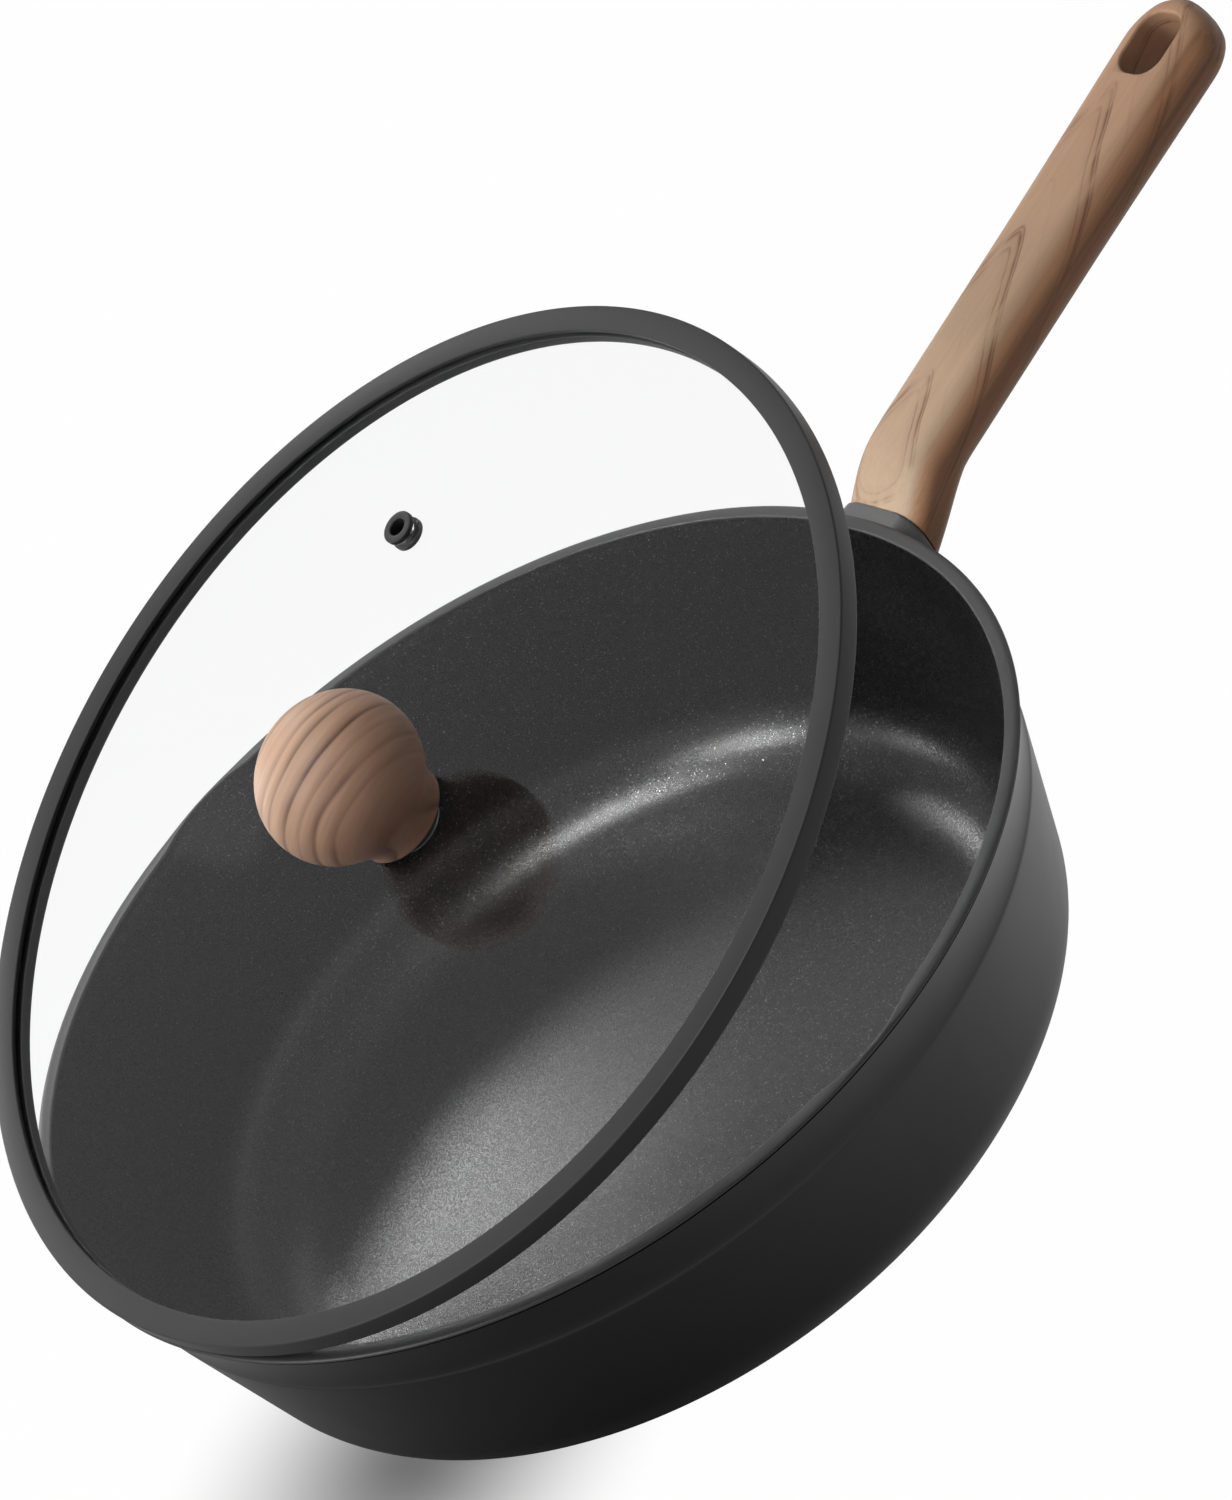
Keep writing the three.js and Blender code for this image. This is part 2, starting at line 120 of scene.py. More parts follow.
def shades(tree, fac, tint, low, high):
    return mixColour(tree, fac, tuple(v * low for v in tint), tuple(v * high for v in tint))


def roughBand(tree, skin, fac, middle, half):
    tree.links.new(span(tree, fac, middle - half, middle + half), skin.inputs["Roughness"])


def addBump(tree, skin, height, strength, depth=0.0001):
    bump = put(tree, "ShaderNodeBump", {"Height": height, "Strength": strength, "Distance": depth})
    tree.links.new(bump.outputs[0], skin.inputs["Normal"])


def makeObject(name, data):
    piece = bpy.data.objects.new(name, data)
    scene.collection.objects.link(piece)
    return piece


weldGap = 1e-7


def smoothed(mesh, sharpAngle):
    mesh.shade_smooth()
    mesh.set_sharp_from_angle(angle=math.radians(sharpAngle))


def tidyMesh(mesh, sharpAngle):
    work = bmesh.new()
    work.from_mesh(mesh)
    bmesh.ops.remove_doubles(work, verts=work.verts, dist=weldGap)
    bmesh.ops.recalc_face_normals(work, faces=work.faces)
    work.to_mesh(mesh)
    work.free()
    smoothed(mesh, sharpAngle)
    mesh.update()


def filleted(corners, steps=4):
    # closed outline of (radius, height, rounding) corners, rounded with short curves
    outline = []
    count = len(corners)
    for i, (x, z, rounding) in enumerate(corners):
        here = Vector((x, z))
        if rounding <= 0:
            outline.append(here)
            continue
        before = Vector(corners[i - 1][:2]) - here
        after = Vector(corners[(i + 1) % count][:2]) - here
        a = here + before.normalized() * min(rounding, before.length * 0.49)
        b = here + after.normalized() * min(rounding, after.length * 0.49)
        for k in range(steps + 1):
            t = k / steps
            outline.append(a * (1 - t) ** 2 + here * 2 * t * (1 - t) + b * t * t)
    return outline


# geometry node tree that turns an outline round the upright axis
def turnedTree():
    tree = bpy.data.node_groups.new("turnedPiece", "GeometryNodeTree")
    tree.is_modifier = True
    face = tree.interface
    face.new_socket("Geometry", in_out="OUTPUT", socket_type="NodeSocketGeometry")
    face.new_socket("Outline", in_out="INPUT", socket_type="NodeSocketObject")
    face.new_socket("Facets", in_out="INPUT", socket_type="NodeSocketInt")
    face.new_socket("Finish", in_out="INPUT", socket_type="NodeSocketMaterial")
    given = put(tree, "NodeGroupInput")
    outline = put(tree, "GeometryNodeObjectInfo", {"Object": given.outputs["Outline"]})
    size = put(tree, "GeometryNodeAttributeDomainSize", {"Geometry": outline.outputs["Geometry"]})
    columns = sums(tree, "ADD", given.outputs["Facets"], 1.0)
    sheet = put(tree, "GeometryNodeMeshGrid", {
        "Vertices X": size.outputs["Point Count"], "Vertices Y": columns})
    index = put(tree, "GeometryNodeInputIndex").outputs[0]
    row = sums(tree, "FLOOR", sums(tree, "DIVIDE", sums(tree, "ADD", index, 0.25), columns))
    column = sums(tree, "SUBTRACT", index, sums(tree, "MULTIPLY", row, columns))
    place = put(tree, "GeometryNodeInputPosition").outputs[0]
    sample = put(tree, "GeometryNodeSampleIndex", data_type="FLOAT_VECTOR", domain="POINT")
    tree.links.new(outline.outputs["Geometry"], sample.inputs["Geometry"])
    tree.links.new(place, sample.inputs["Value"])
    tree.links.new(row, sample.inputs["Index"])
    parts = put(tree, "ShaderNodeSeparateXYZ", {0: sample.outputs[0]})
    turn = sums(tree, "MULTIPLY", sums(tree, "DIVIDE", column, given.outputs["Facets"]), 2 * math.pi)
    spot = put(tree, "ShaderNodeCombineXYZ", {
        0: sums(tree, "MULTIPLY", parts.outputs[0], sums(tree, "COSINE", turn)),
        1: sums(tree, "MULTIPLY", parts.outputs[0], sums(tree, "SINE", turn)),
        2: parts.outputs[2]})
    bent = put(tree, "GeometryNodeSetPosition", {
        "Geometry": sheet.outputs["Mesh"], "Position": spot.outputs[0]})
    closed = put(tree, "GeometryNodeMergeByDistance", {"Geometry": bent.outputs[0], "Distance": weldGap})
    real = put(tree, "GeometryNodeRealizeInstances", {"Geometry": closed.outputs[0]})
    dressed = put(tree, "GeometryNodeSetMaterial", {
        "Geometry": real.outputs[0], "Material": given.outputs["Finish"]})
    put(tree, "NodeGroupOutput", {"Geometry": dressed.outputs[0]})
    return tree


turnTree = turnedTree()


def turned(name, outline, facets, finish, closed=True, place=None, sharpAngle=35.0):
    points = [(x, 0.0, z) for x, z in outline]
    if closed:
        points.append(points[0])
    lineMesh = bpy.data.meshes.new(name + "Outline")
    lineMesh.from_pydata(points, [(i, i + 1) for i in range(len(points) - 1)], [])
    line = makeObject(name + "Outline", lineMesh)
    carrier = makeObject(name + "Carrier", bpy.data.meshes.new(name + "Carrier"))
    modifier = carrier.modifiers.new("turn", "NODES")
    modifier.node_group = turnTree
    names = {item.name: item.identifier for item in turnTree.interface.items_tree if item.in_out == "INPUT"}
    modifier[names["Outline"]] = line
    modifier[names["Facets"]] = facets
    modifier[names["Finish"]] = finish
    graph = bpy.context.evaluated_depsgraph_get()
    mesh = bpy.data.meshes.new_from_object(carrier.evaluated_get(graph))
    mesh.name = name
    carrier.modifiers.remove(modifier)
    bpy.data.objects.remove(carrier)
    bpy.data.objects.remove(line)
    if place is not None:
        mesh.transform(place)
    tidyMesh(mesh, sharpAngle)
    return makeObject(name, mesh)


print("stage: helpers ready")


# finishes
outsideCoat = {
    "tint": (0.0055, 0.0054, 0.0052), "rough": 0.40, "specular": 0.40, "cloud": 22.0, "peel": 1300.0,
    "peelDepth": 0.10,
}


def outsideCoatFinish():
    s = outsideCoat
    mat, tree, skin = newMaterial("satinBlackCoat")
    spot = objectSpot(tree)
    cloud = noise(tree, spot, s["cloud"], 3.0)
    tree.links.new(shades(tree, cloud, s["tint"], 0.85, 1.2), skin.inputs["Base Color"])
    rough = span(tree, cloud, s["rough"] - 0.03, s["rough"] + 0.03, 0.3, 0.7)
    tree.links.new(rough, skin.inputs["Roughness"])
    skin.inputs["Specular IOR Level"].default_value = s["specular"]
    addBump(tree, skin, noise(tree, spot, s["peel"], 2.0), s["peelDepth"])
    return mat


insideCoat = {
    "tint": (0.0032, 0.0032, 0.0035), "fleck": (0.17, 0.17, 0.175), "fleckMetal": 0.9, "rough": 0.27,
    "specular": 0.45, "cloud": 30.0, "cells": 3600.0, "share": 0.972, "twist": 0.14, "grain": 0.05,
}


def insideCoatFinish():
    # fine cells, each a little tilted; the few in the top share are bright flecks
    s = insideCoat
    mat, tree, skin = newMaterial("sparkleCoat")
    spot = objectSpot(tree)
    cells = put(tree, "ShaderNodeTexVoronoi", {"Vector": spot, "Scale": s["cells"]}).outputs["Color"]
    parts = put(tree, "ShaderNodeSeparateColor", {0: cells})
    fleck = sums(tree, "GREATER_THAN", parts.outputs[0], s["share"])
    tone = shades(tree, noise(tree, spot, s["cloud"], 3.0), s["tint"], 0.85, 1.15)
    tree.links.new(mixColour(tree, fleck, tone, s["fleck"]), skin.inputs["Base Color"])
    tree.links.new(sums(tree, "MULTIPLY", fleck, s["fleckMetal"]), skin.inputs["Metallic"])
    skin.inputs["Specular IOR Level"].default_value = s["specular"]
    rough = span(tree, parts.outputs[1], s["rough"] - 0.05, s["rough"] + 0.08)
    tree.links.new(rough, skin.inputs["Roughness"])
    lean = vectorSum(tree, "SUBTRACT", cells, (0.5, 0.5, 0.5))
    amount = sums(tree, "MULTIPLY_ADD", fleck, s["twist"], s["grain"])
    small = put(tree, "ShaderNodeVectorMath", {0: lean, "Scale": amount}, operation="SCALE").outputs[0]
    facing = put(tree, "ShaderNodeNewGeometry").outputs["Normal"]
    tilted = vectorSum(tree, "ADD", facing, small)
    unit = put(tree, "ShaderNodeVectorMath", {0: tilted}, operation="NORMALIZE")
    tree.links.new(unit.outputs[0], skin.inputs["Normal"])
    return mat


rimCoat = {"tint": (0.030, 0.030, 0.030), "rough": 0.42, "specular": 0.40, "grain": 2200.0, "grainDepth": 0.15}
collarCoat = dict(rimCoat, tint=(0.095, 0.095, 0.095), rough=0.50)


def rimCoatFinish(name, s):
    mat, tree, skin = newMaterial(name)
    grain = noise(tree, objectSpot(tree), s["grain"], 2.0)
    tree.links.new(shades(tree, grain, s["tint"], 0.75, 1.25), skin.inputs["Base Color"])
    skin.inputs["Specular IOR Level"].default_value = s["specular"]
    roughBand(tree, skin, grain, s["rough"], 0.08)
    addBump(tree, skin, grain, s["grainDepth"])
    return mat


def woodFinish(name, s):
    # growth layers round a pith line that drift along the piece, dark late wood lines, fibre streaks, and painted
    # shade in the side colour on the long sides
    mat, tree, skin = newMaterial(name)
    placed = put(tree, "ShaderNodeMapping", {"Vector": objectSpot(tree), "Rotation": s["turn"]}).outputs[0]
    parts = put(tree, "ShaderNodeSeparateXYZ", {0: placed})
    length, cross, rise = parts.outputs
    long = stretched(tree, placed, s["stretch"])
    sway = sums(tree, "SUBTRACT", noise(tree, long, s["sway"], 2.0, 0.4), 0.5)
    across = sums(tree, "SUBTRACT", cross, s["pith"][0])
    deep = sums(tree, "MULTIPLY", sums(tree, "SUBTRACT", rise, s["pith"][1]), s["squash"])
    reach = sums(tree, "SQRT", sums(tree, "ADD", sums(tree, "MULTIPLY", across, across),
                                    sums(tree, "MULTIPLY", deep, deep)))
    drift = sums(tree, "MULTIPLY_ADD", length, s["drift"], sums(tree, "MULTIPLY", reach, s["curl"]))
    layer = sums(tree, "ADD", sums(tree, "MULTIPLY_ADD", sway, s["swayDepth"], drift), s["shift"])
    ring = sums(tree, "FRACT", sums(tree, "DIVIDE", layer, s["period"]))
    lines = put(tree, "ShaderNodeSeparateColor", {0: greyRamp(tree, ring, s["lateWood"])}).outputs[0]
    fade = noise(tree, long, s["sway"] * 2.3, 2.0)
    strength = span(tree, fade, s["faint"], s["lineDepth"], 0.36, 0.60)
    streak = noise(tree, stretched(tree, placed, s["fibre"]), 1.0, 4.0, 0.6)
    along = span(tree, length, 0.0, 1.0, *s["span"])
    edge = span(tree, sums(tree, "ABSOLUTE", cross), 0.0, 1.0, *s["sideBand"], soft=True)
    # colour along the span from the near to the far colour; on the knob this step is painted light and shade
    ground = mixColour(tree, along, s["near"], s["far"])
    # painted shade: the darker side colour on both long sides
    ground = mixColour(tree, sums(tree, "MULTIPLY", edge, s["paintedSideShadeDepth"]), ground, s["side"])
    streakDepth = sums(tree, "MULTIPLY_ADD", edge, s["streak"], s["streak"])
    ground = mixColour(tree, span(tree, streak, 0.0, streakDepth, 0.35, 0.72), ground, s["dark"])
    # broader bands that gather on the sides toward the far end
    bands = noise(tree, stretched(tree, placed, s["coarse"]), 1.0, 2.0)
    bandDepth = sums(tree, "MULTIPLY", sums(tree, "MULTIPLY", edge, along), s["coarseDepth"])
    ground = mixColour(tree, span(tree, bands, 0.0, bandDepth, 0.46, 0.62), ground, s["dark"])
    colour = mixColour(tree, sums(tree, "MULTIPLY", lines, strength), ground, s["dark"])
    tree.links.new(colour, skin.inputs["Base Color"])
    roughBand(tree, skin, streak, 0.54, 0.10)
    skin.inputs["Specular IOR Level"].default_value = s["specular"]
    addBump(tree, skin, sums(tree, "MULTIPLY_ADD", lines, -0.5, streak), 0.04, 0.0002)
    return mat


handleWood = {
    "turn": (0.0, math.radians(9.9), 0.0), "stretch": (0.30, 1.0, 1.0), "sway": 60.0, "swayDepth": 0.0055,
    "pith": (0.0028, 0.0542), "squash": 2.6, "curl": 1.0, "drift": 0.42, "shift": 0.0108, "period": 0.019,
    "faint": 0.08, "lineDepth": 1.0, "fibre": (16.0, 1300.0, 1300.0), "streak": 0.13, "specular": 0.35,
    "span": (0.16, 0.33), "sideBand": (0.0100, 0.0145), "paintedSideShadeDepth": 0.85,
    # side colour: painted shade on the long sides of the handle
    "near": (0.400, 0.284, 0.186), "far": (0.44, 0.250, 0.148), "side": (0.39, 0.180, 0.086),
    "dark": (0.140, 0.058, 0.030), "coarse": (6.0, 430.0, 430.0), "coarseDepth": 0.85,
    "lateWood": [(0.0, 0.04), (0.30, 0.02), (0.335, 0.16), (0.35, 0.04), (0.66, 0.06), (0.77, 0.18), (0.80, 0.62),
                 (0.825, 0.16), (0.88, 0.26), (0.925, 1.0), (0.95, 0.30), (0.97, 0.85), (0.99, 0.14)],
}
knobWood = {
    "turn": (0.0, math.radians(-83.4), math.radians(54.1)), "stretch": (1.0, 0.45, 0.45), "sway": 26.0,
    "swayDepth": 0.021, "pith": (0.0, 0.35), "squash": 1.0, "curl": 0.10, "drift": 1.0, "shift": 0.0,
    "period": 0.0190, "faint": 0.30, "lineDepth": 1.0, "fibre": (700.0, 35.0, 35.0), "streak": 0.22, "specular": 0.35,
    "span": (-0.113, -0.053), "sideBand": (1.0, 2.0), "paintedSideShadeDepth": 0.0,
    # painted light and shade: the knob goes from the light near colour on its lit side to the dark far colour on its
    # shaded side by the neck
    "near": (0.68, 0.455, 0.312), "far": (0.225, 0.103, 0.061), "side": (0.235, 0.122, 0.070),
    "dark": (0.085, 0.033, 0.021), "coarse": (300.0, 30.0, 30.0), "coarseDepth": 0.0,
    "lateWood": [(0.0, 0.0), (0.08, 0.22), (0.15, 0.75), (0.18, 0.12), (0.32, 0.06), (0.42, 0.40), (0.50, 1.0),
                 (0.54, 0.14), (0.68, 0.10), (0.75, 0.50), (0.78, 0.12), (0.88, 0.30), (0.95, 1.0), (0.99, 0.05)],
}

sealRubber = {"tint": (0.026, 0.026, 0.027), "rough": 0.44, "specular": 0.24, "cloud": 18.0, "grain": 1500.0}


def rubberFinish():
    s = sealRubber
    mat, tree, skin = newMaterial("greySealRubber")
    spot = objectSpot(tree)
    cloud = noise(tree, spot, s["cloud"], 3.0)
    tree.links.new(shades(tree, cloud, s["tint"], 0.88, 1.12), skin.inputs["Base Color"])
    roughBand(tree, skin, cloud, s["rough"], 0.05)
    skin.inputs["Specular IOR Level"].default_value = s["specular"]
    addBump(tree, skin, noise(tree, spot, s["grain"], 2.0), 0.02)
    return mat


lidPane = {"tint": (0.995, 0.999, 0.998), "ior": 1.36, "smear": 9.0, "smearRough": 0.02, "shadow": (0.93, 0.94, 0.94)}


def glassFinish():
    s = lidPane
    mat, tree, skin = newMaterial("clearLidGlass")
    skin.inputs["Base Color"].default_value = (*s["tint"], 1.0)
    skin.inputs["Transmission Weight"].default_value = 1.0
    skin.inputs["IOR"].default_value = s["ior"]
    smear = noise(tree, objectSpot(tree), s["smear"], 2.0)
    tree.links.new(span(tree, smear, 0.0, s["smearRough"], 0.4), skin.inputs["Roughness"])
    # lamps shine through the pane
    clear = put(tree, "ShaderNodeBsdfTransparent", {"Color": (*s["shadow"], 1.0)})
    path = put(tree, "ShaderNodeLightPath")
    both = put(tree, "ShaderNodeMixShader", {
        0: path.outputs["Is Shadow Ray"], 1: skin.outputs[0], 2: clear.outputs[0]})
    out = next(n for n in tree.nodes if n.type == "OUTPUT_MATERIAL")
    tree.links.new(both.outputs[0], out.inputs["Surface"])
    return mat


brushed = {"grain": (40.0, 40.0, 1500.0), "roughHalf": 0.08, "depth": 0.1}


def metalFinish(name, tint, rough):
    mat, tree, skin = newMaterial(name)
    lines = noise(tree, stretched(tree, objectSpot(tree), brushed["grain"]), 1.0, 3.0)
    tree.links.new(shades(tree, lines, tint, 0.85, 1.0), skin.inputs["Base Color"])
    skin.inputs["Metallic"].default_value = 1.0
    roughBand(tree, skin, lines, rough, brushed["roughHalf"])
    addBump(tree, skin, lines, brushed["depth"])
    return mat


turnedSteel = {"marks": 2200.0, "dull": (0.42, 0.42, 0.42), "bright": (0.62, 0.62, 0.63), "rough": 0.38, "depth": 0.3}


def discFinish():
    # fine turning marks round the centre of the base
    s = turnedSteel
    mat, tree, skin = newMaterial("turnedSteelDisc")
    flat = vectorSum(tree, "MULTIPLY", objectSpot(tree), (1.0, 1.0, 0.0))
    reach = put(tree, "ShaderNodeVectorMath", {0: flat}, operation="LENGTH").outputs["Value"]
    marks = put(tree, "ShaderNodeTexNoise", {"W": sums(tree, "MULTIPLY", reach, s["marks"]), "Detail": 2.0},
                noise_dimensions="1D").outputs[0]
    tree.links.new(mixColour(tree, marks, s["dull"], s["bright"]), skin.inputs["Base Color"])
    skin.inputs["Metallic"].default_value = 1.0
    roughBand(tree, skin, marks, s["rough"], 0.10)
    addBump(tree, skin, marks, s["depth"])
    return mat


finishes = {
    "outside": outsideCoatFinish(),
    "inside": insideCoatFinish(),
    "rim": rimCoatFinish("greyRimCoat", rimCoat),
    "collar": rimCoatFinish("greyCollarCoat", collarCoat),
    "handle": woodFinish("handleWoodGrain", handleWood),
    "knob": woodFinish("knobWoodGrain", knobWood),
    "seal": rubberFinish(),
    "glass": glassFinish(),
    "steel": metalFinish("satinSteel", (0.60, 0.60, 0.61), 0.32),
    "brass": metalFinish("turnedBrass", (0.62, 0.44, 0.18), 0.30),
    "disc": discFinish(),
}
print("stage: finishes made,", len(finishes))


# pan shell: outline turned round the axis, with two pouring spouts scooped from the inner wall
pan = {
    "rim": 0.142, "height": 0.0743, "overhang": 0.0011, "lean": math.radians(15.1), "wall": 0.0031, "floor": 0.0048,
    "corner": 0.0238, "rimRound": 0.0006, "shoulder": 0.0188, "recess": 0.0006, "bend": 0.006,
    "shoulderSoft": 0.0008, "footIn": 0.0002, "footUp": 0.0006, "grooveDepth": 0.0006, "grooveHeight": 0.0009,
    "grooveSoft": 0.0002, "grooveTop": 0.0003, "rollLip": 0.0001, "rollIn": 0.0026, "rollDown": 0.0009,
    "softUp": 0.020, "softIn": 0.026, "spoutRadius": 0.041, "spoutDepth": 0.0026, "spoutLean": math.radians(22.0),
    "spoutSoft": 0.0004, "spoutDrop": 0.03, "spoutHalfTurn": 0.4, "spoutSides": (90.0, 270.0), "flatKept": 0.0002,
    "disc": 0.0903, "discDepth": 0.0015, "discEdge": 0.0004, "step": 1.5, "fineStep": 0.4, "fineReach": 10.0,
    "sharp": 40.0,
}
pan["coneTop"] = pan["rim"] - pan["overhang"]
pan["innerTop"] = pan["coneTop"] - pan["wall"] / math.cos(pan["lean"])


def cornerArc(topRadius, radius, count):
    # round corner between the base at height zero and the leaning wall
    r = topRadius - (pan["height"] - radius) * math.tan(pan["lean"]) - radius / math.cos(pan["lean"])
    points = []
    for k in range(count + 1):
        a = -math.pi / 2 + (math.pi / 2 - pan["lean"]) * k / count
        points.append((r + radius * math.cos(a), radius + radius * math.sin(a)))
    return points


def blendLine(a, b, count):
    return [(a[0] + (b[0] - a[0]) * k / count, a[1] + (b[1] - a[1]) * k / count) for k in range(1, count + 1)]


def curve(a, b, c, count):
    points = []
    for k in range(1, count + 1):
        t = k / count
        points.append(tuple((1 - t) ** 2 * p + 2 * t * (1 - t) * q + t * t * w for p, q, w in zip(a, b, c)))
    return points


def longCurve(a, b, c, d, count):
    points = []
    for k in range(count):
        t = k / count
        u = 1 - t
        points.append(tuple(u ** 3 * p + 3 * u * u * t * q + 3 * u * t * t * w + t ** 3 * v
                            for p, q, w, v in zip(a, b, c, d)))
    return points


shellFinishes = ("outside", "rim", "inside")


def panOutline():
    # list of (radius, height, finish number, part), the finish number as in shellFinishes
    p = pan
    slope = math.tan(p["lean"])
    top = p["height"]

    def cone(z):
        return p["coneTop"] - (top - z) * slope

    rows = []

    def extend(points, finish, part):
        rows.extend((r, z, finish, part) for r, z in points)

    extend([(0.0, p["discDepth"])], 0, "out")
    extend(blendLine((0.0, p["discDepth"]), (p["disc"], p["discDepth"]), 6), 0, "out")
    footing = (p["disc"] + p["discEdge"], 0.0)
    extend([(p["disc"], p["discEdge"]), footing], 0, "out")
    arc = cornerArc(p["coneTop"], p["corner"], 18)
    extend(blendLine(footing, arc[0], 3), 0, "out")
    extend(arc[1:], 0, "out")
    low = top - p["shoulder"]
    shoulder = (cone(low), low)
    under = (cone(low - p["shoulderSoft"]), low - p["shoulderSoft"])
    foot = (shoulder[0] - p["footIn"], low + p["footUp"])
    extend(blendLine(arc[-1], under, 10), 0, "out")
    extend(curve(under, shoulder, foot, 6), 0, "out")
    # hollow band up to a fine dark groove under the rolled rim
    e = p["rimRound"]
    roll = (p["rollIn"], p["rollDown"])
    lipLow = top - roll[1]
    band = curve(foot, (shoulder[0] - p["recess"], low + p["bend"]), (p["rim"], lipLow), 24)
    band = [spot for spot in band if spot[1] < lipLow - p["grooveHeight"]]
    bottom = band[-1][0] - p["grooveDepth"]
    extend(band, 0, "out")
    extend([(bottom, band[-1][1] + p["grooveSoft"]), (bottom, lipLow - p["grooveTop"]),
            (p["rim"] - p["rollLip"], lipLow - p["grooveSoft"])], 0, "out")
    for k in range(9):
        a = math.pi / 2 * k / 8
        extend([(p["rim"] - roll[0] * (1 - math.cos(a)), lipLow + roll[1] * math.sin(a))], 1, "edge")
    # two rows on the flat, whose radius follows the spouts and is set in panShell
    extend([(None, top), (None, top)], 1, "flat")
    inner = p["innerTop"]
    for k in range(6):
        a = math.pi / 2 * (1 - k / 5)
        extend([(inner + e - e * math.cos(a), top - e + e * math.sin(a))], 1, "lip")
    # soft corner that runs out slowly on to the cooking face
    meet = inner - (top - p["floor"]) * slope
    wallFoot = (meet + p["softUp"] * slope, p["floor"] + p["softUp"])
    floorEdge = (meet - p["softIn"], p["floor"])
    extend(blendLine((inner - e * slope, top - e), wallFoot, 26), 2, "in")
    extend(curve(wallFoot, (meet, p["floor"]), floorEdge, 28), 2, "in")
    extend(blendLine(floorEdge, (0.0, p["floor"]), 12), 2, "in")
    return rows


def turnFrom(turn, side):
    return (turn - side + 180.0) % 360.0 - 180.0


def spoutPush(turn, z):
    # how far the inner wall moves out at this turn round the axis and height
    p = pan
    drop = p["height"] - z
    if drop > p["spoutDrop"]:
        return 0.0
    wall = p["innerTop"] - drop * math.tan(p["lean"])
    middle = p["innerTop"] + p["spoutDepth"] - p["spoutRadius"] - drop * math.tan(p["spoutLean"])
    soft = p["spoutSoft"]
    push = 0.0
    for side in p["spoutSides"]:
        off = math.radians(turnFrom(turn, side))
        inside = p["spoutRadius"] ** 2 - (middle * math.sin(off)) ** 2
        if abs(off) > p["spoutHalfTurn"] or inside <= 0:
            continue
        gap = middle * math.cos(off) + math.sqrt(inside) - wall
        if gap > -soft * 4:
            push = max(push, 0.5 * (gap + math.sqrt(gap * gap + soft * soft)))
    return push


def panShell():
    p = pan
    turns = []
    turn = 0.0
    while turn < 359.99:
        near = min(abs(turnFrom(turn, side)) for side in p["spoutSides"])
        turns.append(turn)
        turn += p["fineStep"] if near < p["fineReach"] else p["step"]
    rows = panOutline()
    verts, faces, marks = [], [], []
    count = len(turns)
    for turn in turns:
        a = math.radians(turn)
        topPush = spoutPush(turn, p["height"])
        lipEdge = p["innerTop"] + p["rimRound"] + topPush
        rollWidth = min(p["rollIn"], p["rim"] - lipEdge - p["flatKept"])
        outerEdge = p["rim"] - rollWidth
        flat = 0
        for r, z, finish, part in rows:
            if part == "flat":
                flat += 1
                r = outerEdge + (lipEdge - outerEdge) * flat / 3
            elif part == "edge":
                r = p["rim"] - (p["rim"] - r) * rollWidth / p["rollIn"]
            elif part == "lip":
                r += topPush
            elif part == "in":
                r += spoutPush(turn, z)
            verts.append((r * math.cos(a), r * math.sin(a), z))
    size = len(rows)
    for j in range(count):
        k = (j + 1) % count
        for i in range(size - 1):
            faces.append((j * size + i, k * size + i, k * size + i + 1, j * size + i + 1))
            marks.append(rows[i + 1][2])
    mesh = bpy.data.meshes.new("panShell")
    mesh.from_pydata(verts, [], faces)
    for name in shellFinishes:
        mesh.materials.append(finishes[name])
    mesh.polygons.foreach_set("material_index", marks)
    tidyMesh(mesh, p["sharp"])
    return makeObject("panShell", mesh)


shell = panShell()
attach(shell, "pan")
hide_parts("pan_body")
print("stage: pan shell,", len(shell.data.polygons), "faces")


# handle path, shared by the boss, the grip and its screw
grip = {
    "width": 0.0285, "thick": 0.0172, "corner": 0.0074, "rise": math.radians(9.9), "reach": 0.1575,
    "bendReach": 0.024, "bendRise": 0.012, "bendStart": math.radians(34.0), "bossReach": 0.0043, "drop": 0.0095,
    "rootSwell": 0.0012, "rootFade": 0.029, "bendSwell": 0.0017, "bendFade": 0.023, "tipSwell": 0.0022,
    "tipEdge": 0.005, "slotLength": 0.0195, "slotWidth": 0.015, "slotCorner": 0.006, "slotMargin": 0.0066,
    "mouth": 0.0011, "slotClear": 0.003, "screwAt": 0.036, "wellRadius": 0.0044, "wellTop": -0.0040,
    "wellLow": -0.012, "wellFlare": 0.0005, "wellLip": 0.0001, "stations": 150, "around": 18, "crown": 0.0008,
    "pathSteps": 400, "shortest": 0.000002, "sharp": 40.0,
}
rootX = pan["rim"] + grip["bossReach"]
rootZ = pan["height"] - grip["drop"]


def pathPoints():
    g = grip
    end = (rootX + g["bendReach"], rootZ + g["bendRise"])
    lead, tail = g["bendReach"] / 2, g["bendReach"] / 3
    a = (rootX, rootZ)
    b = (rootX + lead * math.cos(g["bendStart"]), rootZ + lead * math.sin(g["bendStart"]))
    c = (end[0] - tail * math.cos(g["rise"]), end[1] - tail * math.sin(g["rise"]))
    points = longCurve(a, b, c, end, g["pathSteps"])
    run = g["reach"] - g["bendReach"]
    points.append(end)
    points.append((end[0] + run, end[1] + run * math.tan(g["rise"])))
    lengths = [0.0]
    for p, q in zip(points, points[1:]):
        lengths.append(lengths[-1] + math.dist(p, q))
    return points, lengths


pathSpots, pathLengths = pathPoints()
gripLength = pathLengths[-1]


def smoothStep(value, low, high):
    t = min(max((value - low) / (high - low), 0.0), 1.0)
    return t * t * (3 - 2 * t)


